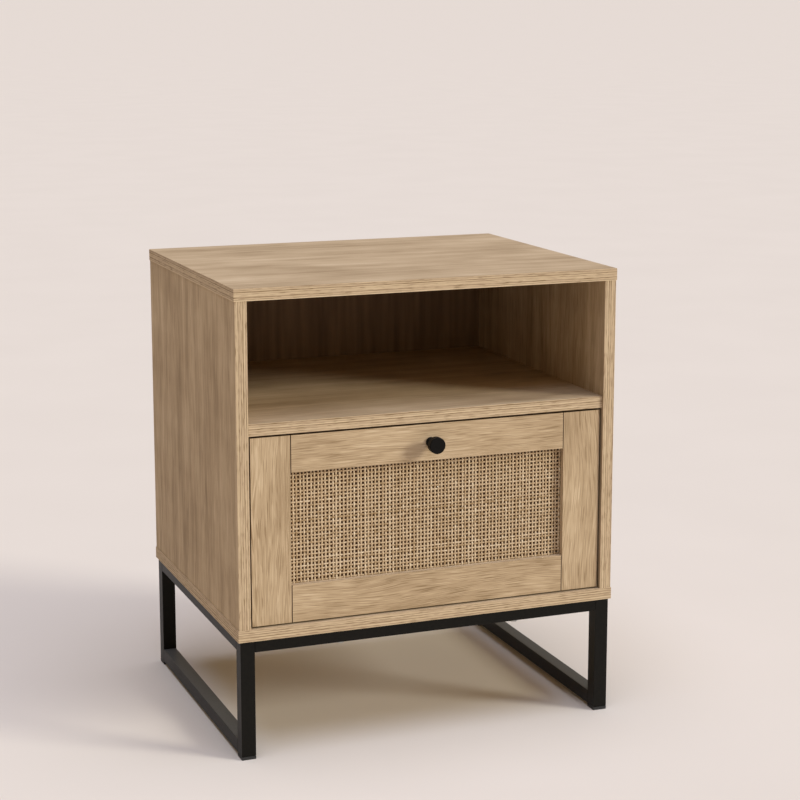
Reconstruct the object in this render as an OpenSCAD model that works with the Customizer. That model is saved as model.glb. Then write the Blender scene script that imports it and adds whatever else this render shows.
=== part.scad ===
// A nightstand: an oak-look cabinet with an open bay above one drawer with a woven cane front,
// standing on a black steel base. +Z is up and the front faces -Y. The origin is on the floor, under
// the middle of the whole outline, which the knob lengthens at the front.

/* [Overall] */
// Width of the top and bottom panels
width = 500; // [417:1:600]
// Depth of the top and bottom panels, without the knob
depth = 400; // [333:1:480]
// Height of the table top above the floor
height = 580; // [483:1:696]

/* [Carcass] */
// Thickness of the top, bottom, side and shelf panels
board_t = 15; // [12.5:0.5:18]
// Height of the drawer bay, from the bottom panel to the shelf
drawer_bay_h = 237; // [222:1:285]
// How far each side panel stands in from the ends of the top panel
side_inset = 1; // [0.5:0.5:4]
// How far the side panels' front edges stand back from the top's front edge
side_recess = 0.5; // [0:0.5:4]
// How far the shelf's front edge stands back from the top's front edge
shelf_recess = 3.5; // [1:0.5:20]
// Thickness of the back panel
back_t = 3; // [2.5:0.5:5]
// How far the back panel stands in from the rear edges
back_inset = 1; // [0.5:0.5:4]
// How far the back panel laps into a rebate of each side panel
back_lap = 7.5; // [6:0.5:9]

/* [Steel base] */
// Height of the steel base, from the floor to the bottom panel
base_h = 150; // [100:1:170]
// Outside width of the square leg tube
tube_w = 18; // [15:1:22]
// Wall of the steel tube
tube_wall = 1.5; // [1:0.25:2.5]
// Height of the rails under the bottom panel
rail_h = 15; // [12.5:0.5:22]
// How far the base stands in from the ends of the bottom panel
base_side_inset = 2.8; // [0:0.2:20]
// How far the base stands in from the front and rear edges of the bottom panel
base_end_inset = 2.6; // [0:0.2:20]
// Thickness of a glide under its tube
glide_t = 4; // [3:0.5:6]
// How far a glide's plug reaches up into its tube
glide_plug_h = 10; // [8:1:20]

/* [Drawer front] */
// Thickness of the drawer front's frame
front_t = 16; // [14:0.5:19]
// How far the drawer front stands back from the top's front edge
front_recess = 4.5; // [1:0.5:8]
// Gap beside the drawer front
gap_side = 2.8; // [1.5:0.1:4]
// Gap above the drawer front
gap_top = 2.4; // [1.5:0.1:4]
// Gap below the drawer front
gap_bottom = 2; // [1:0.1:4]
// Width of the frame's stiles
stile_w = 50; // [41:1:60]
// Height of the frame's top rail
top_rail_h = 46; // [38:0.5:55]
// Height of the frame's bottom rail
bottom_rail_h = 46.5; // [38:0.5:56]
// Width of the groove along each joint between a rail and a stile
joint_groove = 1.2; // [0.5:0.1:2]
// Width of the rebate behind the frame's lip, which holds the webbing
rebate_w = 6; // [4:0.5:7]
// Distance from the frame's face back to the webbing
webbing_depth = 8; // [7:0.5:9]
// Thickness of the woven webbing
webbing_t = 2; // [1.5:0.1:2.5]

/* [Knob] */
// How far the knob stands out from the frame's face
knob_out = 23.5; // [18:0.5:30]
// Radius of the knob's head
knob_head_r = 10.3; // [8:0.1:14]
// Thickness of the knob's head
knob_head_t = 8.5; // [6:0.5:10]
// Radius of the knob's foot
knob_foot_r = 6.4; // [5.5:0.1:9]
// Radius of the knob's neck
knob_neck_r = 4.6; // [4:0.1:7]
// Distance from the top of the drawer front down to the knob's axis
knob_drop = 23; // [18:0.5:28]

/* [Drawer box] */
// Thickness of the drawer box's sides, front and back
box_t = 12; // [10:0.5:15]
// Height of the drawer box
box_h = 178; // [150:1:190]
// Gap between the bottom panel and the drawer box
box_floor_gap = 15; // [12:1:20]
// Gap between the drawer box and the back panel
rear_gap = 25.5; // [10:0.5:40]
// Thickness of the drawer's floor
floor_t = 4; // [3:0.5:6]
// Depth of the grooves that hold the drawer's floor
groove_depth = 6; // [4:0.5:7]
// Height of those grooves above the drawer box's lower edge
groove_up = 10; // [8:1:16]

/* [Drawer slides] */
// Gap between a side panel and the drawer box, which the slide fills
slide_space = 13; // [12.6:0.1:16]
// Height of the slide's cabinet channel
slide_h = 45; // [35:1:55]
// Thickness of the slide's steel
slide_steel = 1.2; // [1:0.1:1.2]
// Running gap between the slide's members
slide_gap = 0.3; // [0.3:0.05:0.4]
// Height of the slide's axis above the drawer box's lower edge
slide_up = 60; // [45:1:90]
// How far the slide's front end stands back from the drawer front
slide_setback = 2; // [1:0.5:10]

/* [Fasteners] */
// Radius of a dowel in the carcass
dowel_r = 4; // [3:0.5:4]
// Radius of a dowel in the drawer front's frame
frame_dowel_r = 3; // [2.5:0.5:3]
// Gap round a fastener in its hole
hole_gap = 0.05; // [0.02:0.01:0.1]
// Distance from a panel's end to its first dowel or screw
joint_inset = 40; // [30:1:50]

/* [Hidden] */
$fn = 48;

oak = "#c3a681";
oak_front = "#b79c77";
board_brown = "#a98f70";
pale_board = "#d6c6ac";
black_steel = "#1e1b17";
black_plastic = "#262422";
zinc = "#b9bcc0";
cane = "#a98a67";

// Side to side, on the right half
side_out_x = width / 2 - side_inset;
side_in_x = side_out_x - board_t;
side_mid_x = (side_out_x + side_in_x) / 2;
box_x = side_in_x - slide_space;
box_in_x = box_x - box_t;
front_x = side_in_x - gap_side;
opening_x = front_x - stile_w;
leg_out_x = width / 2 - base_side_inset;
leg_in_x = leg_out_x - tube_w;
leg_mid_x = leg_out_x - tube_w / 2;

// Front to back
knob_overhang = knob_out - front_recess;
front_y = (knob_overhang - depth) / 2;
back_y = front_y + depth;
mid_y = (front_y + back_y) / 2;
back_panel_y = back_y - back_inset - back_t;
shelf_y = front_y + shelf_recess;
frame_y = front_y + front_recess;
frame_back_y = frame_y + front_t;
box_back_y = back_panel_y - rear_gap;
slide_y = frame_back_y + slide_setback;
leg_front_y = front_y + base_end_inset;
leg_back_y = back_y - base_end_inset;

// Bottom to top
bay_z = base_h + board_t;
shelf_z = bay_z + drawer_bay_h;
top_z = height - board_t;
shelf_mid_z = shelf_z + board_t / 2;
front_z = bay_z + gap_bottom;
front_top_z = shelf_z - gap_top;
opening_z = front_z + bottom_rail_h;
opening_top_z = front_top_z - top_rail_h;
knob_z = front_top_z - knob_drop;
box_z = bay_z + box_floor_gap;
box_top_z = box_z + box_h;
floor_z = box_z + groove_up;
slide_z = box_z + slide_up;
rail_z = base_h - rail_h;

// Cabinet dowels: 10 mm of each stands in the panel across the joint, 20 mm in the panel's end
dowel_across = 10;
dowel_along = 20;
dowel_slack = 1;
top_joint_ys = [front_y + joint_inset, mid_y, back_y - joint_inset];
bottom_screw_ys = top_joint_ys;
bottom_dowel_ys = [(top_joint_ys[0] + mid_y) / 2, (mid_y + top_joint_ys[2]) / 2];
shelf_mid_y = (shelf_y + back_panel_y) / 2;

// Screws through the bottom panel into the side panels' ends
carcass_screw_r = 3;
carcass_screw_head_r = 5;
carcass_screw_len = 50;

// Cam and bolt that pull the shelf's ends against the side panels
cam_r = 7.4;
cam_bore_r = 7.5;
cam_from_end = 24;
cam_above_bolt = 4.5;
cam_h = board_t / 2 + cam_above_bolt;
cam_bolt_r = 2.5;
cam_bolt_thread_r = 2.9;
cam_bolt_head_r = 3.4;
cam_bolt_head_t = 3;
cam_bolt_bite = 11;
cam_ys = [shelf_y + joint_inset, back_panel_y - joint_inset];
cam_x = side_in_x - cam_from_end;

// Small countersunk screws of the back panel
back_screw_r = 1.5;
back_screw_head_r = 2.6;
back_screw_len = 16;
back_screw_rows = 4;
back_screw_x = side_in_x + back_lap / 2;
back_screw_z0 = bay_z + joint_inset / 2;
back_screw_pitch = (top_z - joint_inset / 2 - back_screw_z0) / (back_screw_rows - 1);
back_screw_zs = [for (i = [0:back_screw_rows - 1]) back_screw_z0 + i * back_screw_pitch];
back_shelf_xs = [-side_in_x / 2, 0, side_in_x / 2];

// Screws up through the base's rails into the bottom panel
base_screw_r = 2.5;
base_screw_head_r = 5.5;
base_screw_head_t = 2.8;
base_screw_bite = board_t - 4;
base_screw_inset = 75;
base_side_screw_ys = [front_y + base_screw_inset, back_y - base_screw_inset];
base_cross_screw_xs = [-side_in_x / 2, side_in_x / 2];
base_cross_ys = [leg_front_y + tube_w / 2, leg_back_y - tube_w / 2];

// Slides: u runs from the side panel's face towards the drawer
channel_u = 11;
channel_lip = 5.5;
middle_u0 = slide_steel + slide_gap;
middle_u = channel_u - slide_steel - slide_gap;
middle_half_h = slide_h / 2 - slide_steel - slide_gap;
middle_lip = 6.5;
runner_u = middle_u - slide_steel - slide_gap;
runner_half_h = middle_half_h - slide_steel - slide_gap;
runner_wall_half_h = middle_half_h - middle_lip - slide_gap;
slide_screw_r = 1.7;
slide_screw_head_r = 3.4;
slide_screw_bite = 10;
slide_screw_inset = 35;
slide_len = box_back_y - slide_y;
slide_mid_y = (slide_y + box_back_y) / 2;
slide_screw_ys = [slide_y + slide_screw_inset, slide_mid_y, box_back_y - slide_screw_inset];
access_hole_r = 4.5;

// Drawer front
frame_dowel_half = 15;
frame_dowel_edge = 11;
frame_dowel_y = frame_y + front_t / 2;
bead_gap = 0.2;
bead_t = front_t - webbing_depth - webbing_t;
bead_y = frame_back_y - bead_t;
top_dowel_zs = [opening_top_z + frame_dowel_edge, front_top_z - frame_dowel_edge];
bottom_dowel_zs = [front_z + frame_dowel_edge, opening_z - frame_dowel_edge];

// Drawer box
corner_screw_r = 2.3;
corner_screw_head_r = 4;
corner_screw_len = 38;
corner_screw_edge = 24;
corner_screw_zs = [box_z + corner_screw_edge, box_top_z - corner_screw_edge];
corner_screw_ys = [frame_back_y + box_t / 2, box_back_y - box_t / 2];
fixing_screw_r = 2;
fixing_screw_head_r = 4;
fixing_screw_bite = 11;
fixing_screw_from_side = 14;
fixing_screw_edge = 35;
fixing_screw_x = box_in_x - fixing_screw_from_side;
fixing_screw_zs = [box_z + fixing_screw_edge, box_top_z - fixing_screw_edge];

// Knob and its screw
knob_foot_t = 3;
knob_edge_r = 0.8;
knob_screw_r = 2;
knob_screw_head_r = 4;
knob_screw_head_t = 2.4;
knob_screw_bite = 8;
knob_hole_depth = 10;
arc_steps = 12;

leg_plug_gap = 0.1;
drive_slot_w = 0.9;
drive_slot_depth = 1.2;
drive_slot_share = 0.6;
screw_tip_r = 0.3;
pan_taper = 0.8;

// ---- Helpers ----

// Puts what is drawn for the right half on the left half when side is -1
module on_side(side) {
    if (side < 0) mirror([1, 0, 0]) children();
    else children();
}

// A box between two corners
module block(low, high) {
    translate(low) cube(high - low);
}

// Carries a profile drawn in X and Z along Y
module along_y(y0, y1) {
    translate([0, y1, 0]) rotate([90, 0, 0]) linear_extrude(y1 - y0) children();
}

// A dowel along Z that reaches down and up from the joint at its origin
module dowel(radius, down, up, grow = 0, slack = 0) {
    translate([0, 0, -down - slack]) cylinder(r = radius + grow, h = down + up + 2 * slack);
}

// A crossed slot for the screwdriver, cut down from a screw's head at z = 0
module drive_slot(reach) {
    for (turn = [0, 90])
        rotate([0, 0, turn])
            translate([-reach, -drive_slot_w / 2, -drive_slot_depth])
                cube([2 * reach, drive_slot_w, drive_slot_depth + 1]);
}

// A countersunk wood screw, its head flush at z = 0 and its point down
module sunk_screw(radius, head_r, len) {
    cone_h = head_r - radius;
    difference() {
        union() {
            translate([0, 0, -cone_h]) cylinder(r1 = radius, r2 = head_r, h = cone_h);
            translate([0, 0, -len + 2 * radius]) cylinder(r = radius, h = len - 2 * radius - cone_h);
            translate([0, 0, -len]) cylinder(r1 = screw_tip_r, r2 = radius, h = 2 * radius);
        }
        drive_slot(head_r * drive_slot_share);
    }
}

// The countersunk hole for such a screw
module sunk_hole(radius, head_r, len) {
    cone_h = head_r - radius;
    translate([0, 0, -cone_h]) cylinder(r1 = radius + hole_gap, r2 = head_r + hole_gap, h = cone_h);
    cylinder(r = head_r + hole_gap, h = 1);
    translate([0, 0, -len - hole_gap]) cylinder(r = radius + hole_gap, h = len);
}

// A pan-head screw, the head's seat at z = 0 and its point up
module pan_screw(radius, head_r, head_t, len) {
    difference() {
        union() {
            translate([0, 0, -head_t / 2]) cylinder(r = head_r, h = head_t / 2);
            translate([0, 0, -head_t]) cylinder(r1 = head_r * pan_taper, r2 = head_r, h = head_t / 2);
            cylinder(r = radius, h = len);
        }
        translate([0, 0, -head_t]) mirror([0, 0, 1]) drive_slot(head_r * drive_slot_share);
    }
}

// ---- Where the fasteners go ----

module at_top_dowels() {
    for (side = [-1, 1], y = top_joint_ys) translate([side * side_mid_x, y, top_z]) children();
}

module at_bottom_dowels() {
    for (side = [-1, 1], y = bottom_dowel_ys) translate([side * side_mid_x, y, bay_z]) children();
}

// Along Z here points out through the side panel
module at_shelf_dowels() {
    for (side = [-1, 1])
        on_side(side)
            translate([side_in_x, shelf_mid_y, shelf_mid_z]) rotate([0, 90, 0]) children();
}

module at_carcass_screws() {
    for (side = [-1, 1], y = bottom_screw_ys)
        translate([side * side_mid_x, y, base_h]) mirror([0, 0, 1]) children();
}

module at_shelf_bolts() {
    for (side = [-1, 1], y = cam_ys)
        on_side(side) translate([side_in_x, y, shelf_mid_z]) rotate([0, 90, 0]) children();
}

module at_shelf_cams() {
    for (side = [-1, 1], y = cam_ys) on_side(side) translate([cam_x, y, shelf_z]) children();
}

// Along Z here points out of the cabinet's back
module at_back_screws() {
    rear = back_panel_y + back_t;
    for (side = [-1, 1], z = back_screw_zs)
        translate([side * back_screw_x, rear, z]) rotate([-90, 0, 0]) children();
    for (x = back_shelf_xs) translate([x, rear, shelf_mid_z]) rotate([-90, 0, 0]) children();
}

module at_base_screws() {
    for (side = [-1, 1], y = base_side_screw_ys) translate([side * leg_mid_x, y, rail_z]) children();
    for (x = base_cross_screw_xs, y = base_cross_ys) translate([x, y, rail_z]) children();
}

// Along Z here points from the channel's web towards the drawer
module at_channel_screws() {
    for (side = [-1, 1], y = slide_screw_ys)
        on_side(side)
            translate([side_in_x - slide_steel, y, slide_z]) rotate([0, -90, 0]) children();
}

// Along Z here points from the runner's web towards the side panel
module at_runner_screws() {
    for (side = [-1, 1], y = slide_screw_ys)
        on_side(side)
            translate([box_x + slide_steel, y, slide_z]) rotate([0, 90, 0]) children();
}

module at_corner_screws() {
    for (side = [-1, 1], y = corner_screw_ys, z = corner_screw_zs)
        on_side(side) translate([box_x, y, z]) rotate([0, 90, 0]) children();
}

// Along Z here points back into the drawer
module at_fixing_screws() {
    for (side = [-1, 1], z = fixing_screw_zs)
        translate([side * fixing_screw_x, frame_back_y + box_t, z]) rotate([-90, 0, 0]) children();
}

// Along Z here points from the rail's end out into the stile
module at_frame_dowels() {
    for (side = [-1, 1], z = concat(top_dowel_zs, bottom_dowel_zs))
        on_side(side) translate([opening_x, frame_dowel_y, z]) rotate([0, 90, 0]) children();
}

// ---- Holes, shared by the pieces that each fastener joins ----

module top_dowel_holes() {
    at_top_dowels() dowel(dowel_r, dowel_along, dowel_across, hole_gap, dowel_slack);
}

module bottom_dowel_holes() {
    at_bottom_dowels() dowel(dowel_r, dowel_across, dowel_along, hole_gap, dowel_slack);
}

module shelf_dowel_holes() {
    at_shelf_dowels() dowel(dowel_r, dowel_along, dowel_across, hole_gap, dowel_slack);
}

module carcass_screw_holes() {
    at_carcass_screws() sunk_hole(carcass_screw_r, carcass_screw_head_r, carcass_screw_len);
}

module cam_bolt_holes() {
    at_shelf_bolts() {
        cylinder(r = cam_bolt_thread_r + hole_gap, h = cam_bolt_bite + hole_gap);
        translate([0, 0, -cam_from_end]) cylinder(r = cam_bolt_head_r + hole_gap, h = cam_from_end);
    }
}

module back_screw_holes() {
    at_back_screws() sunk_hole(back_screw_r, back_screw_head_r, back_screw_len);
}

module base_screw_holes() {
    at_base_screws()
        translate([0, 0, -1])
            cylinder(r = base_screw_r + hole_gap, h = 1 + rail_h + base_screw_bite + hole_gap);
}

module channel_screw_holes() {
    at_channel_screws()
        sunk_hole(slide_screw_r, slide_screw_head_r, slide_steel + slide_screw_bite);
}

module runner_screw_holes() {
    at_runner_screws()
        sunk_hole(slide_screw_r, slide_screw_head_r, slide_steel + slide_screw_bite);
}

module corner_screw_holes() {
    at_corner_screws() sunk_hole(corner_screw_r, corner_screw_head_r, corner_screw_len);
}

module fixing_screw_holes() {
    at_fixing_screws() sunk_hole(fixing_screw_r, fixing_screw_head_r, box_t + fixing_screw_bite);
}

module frame_dowel_holes() {
    at_frame_dowels()
        dowel(frame_dowel_r, frame_dowel_half, frame_dowel_half, hole_gap, dowel_slack);
}

// ---- Carcass ----

module top_panel() {
    color(oak)
        difference() {
            block([-width / 2, front_y, top_z], [width / 2, back_y, height]);
            top_dowel_holes();
        }
}

module bottom_panel() {
    color(oak)
        difference() {
            block([-width / 2, front_y, base_h], [width / 2, back_y, bay_z]);
            bottom_dowel_holes();
            carcass_screw_holes();
            base_screw_holes();
        }
}

module side_panel(side) {
    difference() {
        on_side(side)
            difference() {
                block([side_in_x, front_y + side_recess, bay_z], [side_out_x, back_y, top_z]);
                block([side_in_x - 1, back_panel_y, bay_z - 1],
                    [side_in_x + back_lap, back_y + 1, top_z + 1]);
            }
        top_dowel_holes();
        bottom_dowel_holes();
        shelf_dowel_holes();
        carcass_screw_holes();
        cam_bolt_holes();
        back_screw_holes();
        channel_screw_holes();
    }
}

module left_side_panel() {
    color(oak) side_panel(-1);
}

module right_side_panel() {
    color(oak) side_panel(1);
}

module shelf() {
    color(oak)
        difference() {
            block([-side_in_x, shelf_y, shelf_z], [side_in_x, back_panel_y, shelf_z + board_t]);
            shelf_dowel_holes();
            cam_bolt_holes();
            back_screw_holes();
            at_shelf_cams() translate([0, 0, -1]) cylinder(r = cam_bore_r, h = cam_h + 1 + hole_gap);
        }
}

module back_panel() {
    color(board_brown)
        difference() {
            block([-side_in_x - back_lap, back_panel_y, bay_z],
                [side_in_x + back_lap, back_panel_y + back_t, top_z]);
            back_screw_holes();
        }
}

module carcass_dowels() {
    color(pale_board) {
        at_top_dowels() dowel(dowel_r, dowel_along, dowel_across);
        at_bottom_dowels() dowel(dowel_r, dowel_across, dowel_along);
        at_shelf_dowels() dowel(dowel_r, dowel_along, dowel_across);
    }
}

module carcass_screws() {
    color(zinc)
        at_carcass_screws() sunk_screw(carcass_screw_r, carcass_screw_head_r, carcass_screw_len);
}

// A disc with a slot from its rim to its middle, which grips the bolt's head
module shelf_cams() {
    slot_r = cam_bolt_head_r + 4 * hole_gap;
    slot_end = cam_bolt_head_t / 2 + 4 * hole_gap;
    color(zinc)
        at_shelf_cams()
            difference() {
                cylinder(r = cam_r, h = cam_h);
                translate([-slot_end, 0, board_t / 2])
                    rotate([0, 90, 0]) cylinder(r = slot_r, h = slot_end + cam_r + 1);
                mirror([0, 0, 1]) drive_slot(cam_r * drive_slot_share);
            }
}

module shelf_cam_bolts() {
    color(zinc)
        at_shelf_bolts() {
            cylinder(r = cam_bolt_thread_r, h = cam_bolt_bite);
            translate([0, 0, -cam_from_end]) cylinder(r = cam_bolt_r, h = cam_from_end);
            translate([0, 0, -cam_from_end - cam_bolt_head_t / 2])
                cylinder(r = cam_bolt_head_r, h = cam_bolt_head_t);
        }
}

module back_panel_screws() {
    color(zinc) at_back_screws() sunk_screw(back_screw_r, back_screw_head_r, back_screw_len);
}

// ---- Steel base ----

// A hollow tube along Z, standing on the origin's plane
module upright_tube(w, d, h) {
    difference() {
        cube([w, d, h]);
        translate([tube_wall, tube_wall, -1])
            cube([w - 2 * tube_wall, d - 2 * tube_wall, h + 2]);
    }
}

module leg(side, y) {
    on_side(side)
        translate([leg_in_x, y, glide_t]) upright_tube(tube_w, tube_w, base_h - glide_t);
}

module left_front_leg() {
    color(black_steel) leg(-1, leg_front_y);
}

module left_rear_leg() {
    color(black_steel) leg(-1, leg_back_y - tube_w);
}

module right_front_leg() {
    color(black_steel) leg(1, leg_front_y);
}

module right_rear_leg() {
    color(black_steel) leg(1, leg_back_y - tube_w);
}

// A hollow tube along Y between the front and the rear leg
module side_tube(side, z0, z1) {
    on_side(side)
        translate([leg_in_x, 0, z0])
            along_y(leg_front_y + tube_w, leg_back_y - tube_w)
                difference() {
                    square([tube_w, z1 - z0]);
                    translate([tube_wall, tube_wall])
                        square([tube_w - 2 * tube_wall, z1 - z0 - 2 * tube_wall]);
                }
}

module left_top_rail() {
    color(black_steel)
        difference() {
            side_tube(-1, rail_z, base_h);
            base_screw_holes();
        }
}

module right_top_rail() {
    color(black_steel)
        difference() {
            side_tube(1, rail_z, base_h);
            base_screw_holes();
        }
}

module left_floor_rail() {
    color(black_steel) side_tube(-1, glide_t, glide_t + tube_w);
}

module right_floor_rail() {
    color(black_steel) side_tube(1, glide_t, glide_t + tube_w);
}

// A hollow tube along X between the left and the right leg
module cross_rail(y) {
    difference() {
        translate([-leg_in_x, y, base_h])
            rotate([0, 90, 0]) upright_tube(rail_h, tube_w, 2 * leg_in_x);
        base_screw_holes();
    }
}

module front_cross_rail() {
    color(black_steel) cross_rail(leg_front_y);
}

module rear_cross_rail() {
    color(black_steel) cross_rail(leg_back_y - tube_w);
}

// A plastic foot: a plate as wide as the tube, with a plug up inside it
module glide(side, y) {
    plug_inset = tube_wall + leg_plug_gap;
    plug_w = tube_w - 2 * plug_inset;
    on_side(side)
        translate([leg_in_x, y, 0]) {
            cube([tube_w, tube_w, glide_t]);
            translate([plug_inset, plug_inset, glide_t]) cube([plug_w, plug_w, glide_plug_h]);
        }
}

module left_front_glide() {
    color(black_plastic) glide(-1, leg_front_y);
}

module left_rear_glide() {
    color(black_plastic) glide(-1, leg_back_y - tube_w);
}

module right_front_glide() {
    color(black_plastic) glide(1, leg_front_y);
}

module right_rear_glide() {
    color(black_plastic) glide(1, leg_back_y - tube_w);
}

module base_screws() {
    color(zinc)
        at_base_screws()
            pan_screw(base_screw_r, base_screw_head_r, base_screw_head_t, rail_h + base_screw_bite);
}

// ---- Drawer slides ----

// Places a section drawn in u and z on one side's slide and carries it along the slide
module slide_section(side) {
    on_side(side)
        translate([side_in_x, 0, slide_z])
            mirror([1, 0, 0]) along_y(slide_y, box_back_y) children();
}

// A C section: a web at u0, two flanges that reach to u1, and lips that turn in from them
module c_section(u0, u1, half_h, lip) {
    translate([u0, -half_h]) square([slide_steel, 2 * half_h]);
    for (m = [0, 1])
        mirror([0, m]) {
            translate([u0, half_h - slide_steel]) square([u1 - u0, slide_steel]);
            translate([u1 - slide_steel, half_h - lip]) square([slide_steel, lip]);
        }
}

// A hat section: a web on the drawer, two walls and two brims that hook behind the lips
module hat_section() {
    translate([slide_space - slide_steel, -runner_wall_half_h])
        square([slide_steel, 2 * runner_wall_half_h]);
    for (m = [0, 1])
        mirror([0, m]) {
            translate([runner_u - slide_steel, runner_wall_half_h - slide_steel])
                square([slide_space - runner_u + slide_steel, slide_steel]);
            translate([runner_u - slide_steel, runner_wall_half_h - slide_steel])
                square([slide_steel, runner_half_h - runner_wall_half_h + slide_steel]);
        }
}

module slide_channel(side) {
    difference() {
        slide_section(side) c_section(0, channel_u, slide_h / 2, channel_lip);
        channel_screw_holes();
    }
}

module slide_middle(side) {
    difference() {
        slide_section(side) c_section(middle_u0, middle_u, middle_half_h, middle_lip);
        at_channel_screws() cylinder(r = access_hole_r, h = middle_u0 + slide_steel);
    }
}

module slide_runner(side) {
    difference() {
        slide_section(side) hat_section();
        runner_screw_holes();
    }
}

module left_slide_channel() {
    color(zinc) slide_channel(-1);
}

module right_slide_channel() {
    color(zinc) slide_channel(1);
}

module left_slide_middle() {
    color(zinc) slide_middle(-1);
}

module right_slide_middle() {
    color(zinc) slide_middle(1);
}

module left_slide_runner() {
    color(zinc) slide_runner(-1);
}

module right_slide_runner() {
    color(zinc) slide_runner(1);
}

module slide_channel_screws() {
    color(zinc)
        at_channel_screws()
            sunk_screw(slide_screw_r, slide_screw_head_r, slide_steel + slide_screw_bite);
}

module slide_runner_screws() {
    color(zinc)
        at_runner_screws()
            sunk_screw(slide_screw_r, slide_screw_head_r, slide_steel + slide_screw_bite);
}

// ---- Drawer front ----

// The rebate behind the frame's lip, all round the opening
module webbing_rebate() {
    block([-opening_x - rebate_w, frame_y + webbing_depth, opening_z - rebate_w],
        [opening_x + rebate_w, frame_back_y + 1, opening_top_z + rebate_w]);
}

module stile(side) {
    difference() {
        on_side(side) block([opening_x, frame_y, front_z], [front_x, frame_back_y, front_top_z]);
        webbing_rebate();
        frame_dowel_holes();
        fixing_screw_holes();
    }
}

module left_stile() {
    color(oak_front) stile(-1);
}

module right_stile() {
    color(oak_front) stile(1);
}

// The chamfers on the rails' front ends, each of which makes a groove with its stile
module rail_end_chamfers() {
    for (side = [-1, 1])
        on_side(side)
            translate([opening_x, frame_y, front_z - 1])
                linear_extrude(front_top_z - front_z + 2)
                    polygon([[-joint_groove, 0], [-joint_groove, -1], [1, -1],
                        [1, joint_groove], [0, joint_groove]]);
}

module front_top_rail() {
    color(oak_front)
        difference() {
            block([-opening_x, frame_y, opening_top_z], [opening_x, frame_back_y, front_top_z]);
            webbing_rebate();
            rail_end_chamfers();
            frame_dowel_holes();
            translate([0, frame_y - 1, knob_z])
                rotate([-90, 0, 0]) cylinder(r = knob_screw_r + hole_gap, h = front_t + 2);
        }
}

module front_bottom_rail() {
    color(oak_front)
        difference() {
            block([-opening_x, frame_y, front_z], [opening_x, frame_back_y, opening_z]);
            webbing_rebate();
            rail_end_chamfers();
            frame_dowel_holes();
        }
}

module frame_dowels() {
    color(pale_board) at_frame_dowels() dowel(frame_dowel_r, frame_dowel_half, frame_dowel_half);
}

module cane_webbing() {
    lap = rebate_w - bead_gap;
    color(cane)
        block([-opening_x - lap, frame_y + webbing_depth, opening_z - lap],
            [opening_x + lap, bead_y, opening_top_z + lap]);
}

// A strip of wood that holds one edge of the webbing in the rebate
module long_bead(z) {
    lap = rebate_w - bead_gap;
    block([-opening_x - lap, bead_y, z], [opening_x + lap, frame_back_y, z + lap]);
}

module top_bead() {
    color(pale_board) long_bead(opening_top_z);
}

module bottom_bead() {
    color(pale_board) long_bead(opening_z - rebate_w + bead_gap);
}

module short_bead(side) {
    on_side(side)
        block([opening_x, bead_y, opening_z + bead_gap],
            [opening_x + rebate_w - bead_gap, frame_back_y, opening_top_z - bead_gap]);
}

module left_bead() {
    color(pale_board) short_bead(-1);
}

module right_bead() {
    color(pale_board) short_bead(1);
}

// The knob's outline: a foot, a neck with a hollow curve, and a head with a rounded edge
function neck_curve(r0, z0, r1, z1) =
    [for (i = [0:arc_steps]) let (a = 90 * i / arc_steps)
        [r1 - (r1 - r0) * cos(a), z0 + (z1 - z0) * sin(a)]];

function edge_curve(r, z) =
    [for (i = [0:arc_steps / 2]) let (a = 180 * i / arc_steps)
        [r - knob_edge_r + knob_edge_r * cos(a), z - knob_edge_r + knob_edge_r * sin(a)]];

module knob() {
    head_z = knob_out - knob_head_t;
    flare_z = (knob_foot_t + head_z) / 2;
    outline = concat([[0, 0], [knob_foot_r, 0], [knob_foot_r, knob_foot_t]],
        [[knob_neck_r, knob_foot_t + 1]],
        neck_curve(knob_neck_r, flare_z, knob_head_r - knob_edge_r, head_z),
        [[knob_head_r, head_z + knob_edge_r]],
        edge_curve(knob_head_r, knob_out), [[0, knob_out]]);
    color(black_plastic)
        translate([0, frame_y, knob_z])
            rotate([90, 0, 0])
                difference() {
                    rotate_extrude() polygon(outline);
                    translate([0, 0, -1])
                        cylinder(r = knob_screw_r + hole_gap, h = knob_hole_depth + 1);
                }
}

module knob_screw() {
    color(zinc)
        translate([0, frame_back_y, knob_z])
            rotate([90, 0, 0])
                pan_screw(knob_screw_r, knob_screw_head_r, knob_screw_head_t,
                    front_t + knob_screw_bite);
}

// ---- Drawer box ----

// The groove that the drawer's floor sits in, all round
module floor_groove() {
    block([-box_in_x - groove_depth, frame_back_y + box_t - groove_depth, floor_z],
        [box_in_x + groove_depth, box_back_y - box_t + groove_depth, floor_z + floor_t + hole_gap]);
}

module drawer_side(side) {
    difference() {
        on_side(side) block([box_in_x, frame_back_y, box_z], [box_x, box_back_y, box_top_z]);
        floor_groove();
        corner_screw_holes();
        runner_screw_holes();
    }
}

module left_drawer_side() {
    color(pale_board) drawer_side(-1);
}

module right_drawer_side() {
    color(pale_board) drawer_side(1);
}

module drawer_box_front() {
    color(pale_board)
        difference() {
            block([-box_in_x, frame_back_y, box_z], [box_in_x, frame_back_y + box_t, box_top_z]);
            floor_groove();
            corner_screw_holes();
            fixing_screw_holes();
        }
}

module drawer_box_back() {
    color(pale_board)
        difference() {
            block([-box_in_x, box_back_y - box_t, box_z], [box_in_x, box_back_y, box_top_z]);
            floor_groove();
            corner_screw_holes();
        }
}

module drawer_floor() {
    lap = groove_depth - bead_gap;
    color(pale_board)
        block([-box_in_x - lap, frame_back_y + box_t - lap, floor_z],
            [box_in_x + lap, box_back_y - box_t + lap, floor_z + floor_t]);
}

module drawer_corner_screws() {
    color(zinc)
        at_corner_screws() sunk_screw(corner_screw_r, corner_screw_head_r, corner_screw_len);
}

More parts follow.
